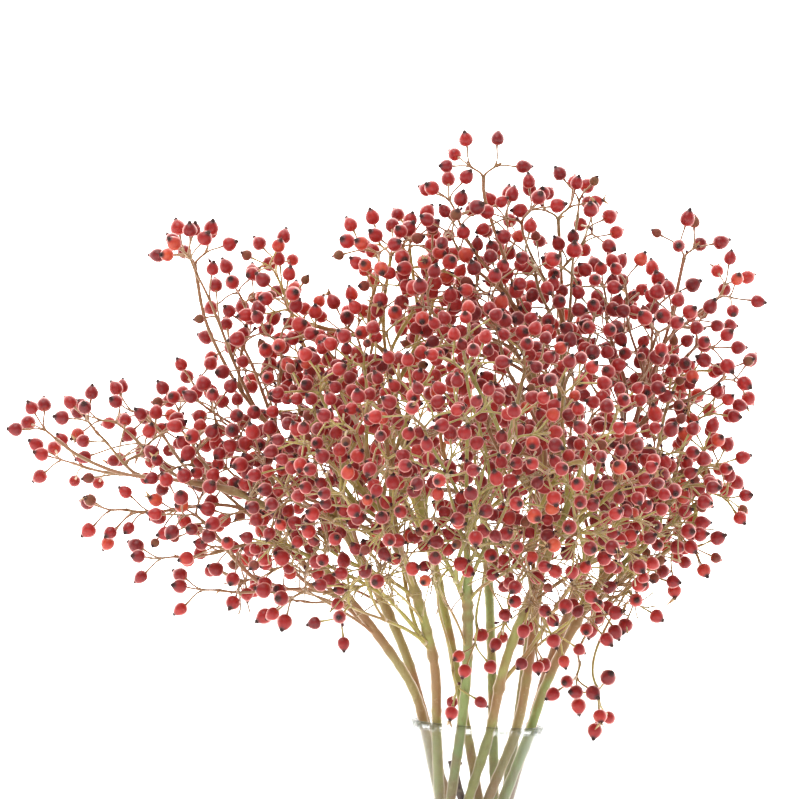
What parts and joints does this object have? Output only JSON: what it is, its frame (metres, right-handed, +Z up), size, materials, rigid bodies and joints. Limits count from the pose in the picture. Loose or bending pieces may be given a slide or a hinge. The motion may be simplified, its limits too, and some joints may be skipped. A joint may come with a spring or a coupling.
{
  "type": "bunch of rose hip sprigs in a glass vase",
  "caption": "Loose bunch of branching rose hip sprigs with small round red hips on thin stalks, their canes crossing in a waisted clear glass vase.",
  "frame": {"origin": "middle of the vase's flat foot, on the surface that it stands on", "axes": "+Z up, the front of the bunch faces -Y, +X to its right, towards the side with the low spray; the long arching sprig reaches to -X"},
  "size_m": [0.3733, 0.25, 0.4459],
  "materials": {
    "clear_glass": "clear, polished",
    "dark_wood": "matt dark bark with a pale cut",
    "rose_sprig": "waxy red hips on olive green and brown stems",
    "red_hip": "smooth waxy skin, soft gloss",
    "green_cane": "smooth satin bark, olive green to red brown",
    "dried_brown": "dry, matt"
  },
  "bodies": {
    "root": {"vase": "clear_glass", "cut_twig": "dark_wood", "right_high_sprig": "rose_sprig", "top_right_sprig": "rose_sprig", "back_sprig": "rose_sprig", "top_left_sprig": "rose_sprig", "left_high_sprig": "rose_sprig", "far_left_sprig": "rose_sprig", "front_left_sprig": "rose_sprig", "front_sprig": "rose_sprig", "front_right_sprig": "rose_sprig", "top_sprig": "rose_sprig", "right_sprig": "rose_sprig"}
  },
  "joints": []
}
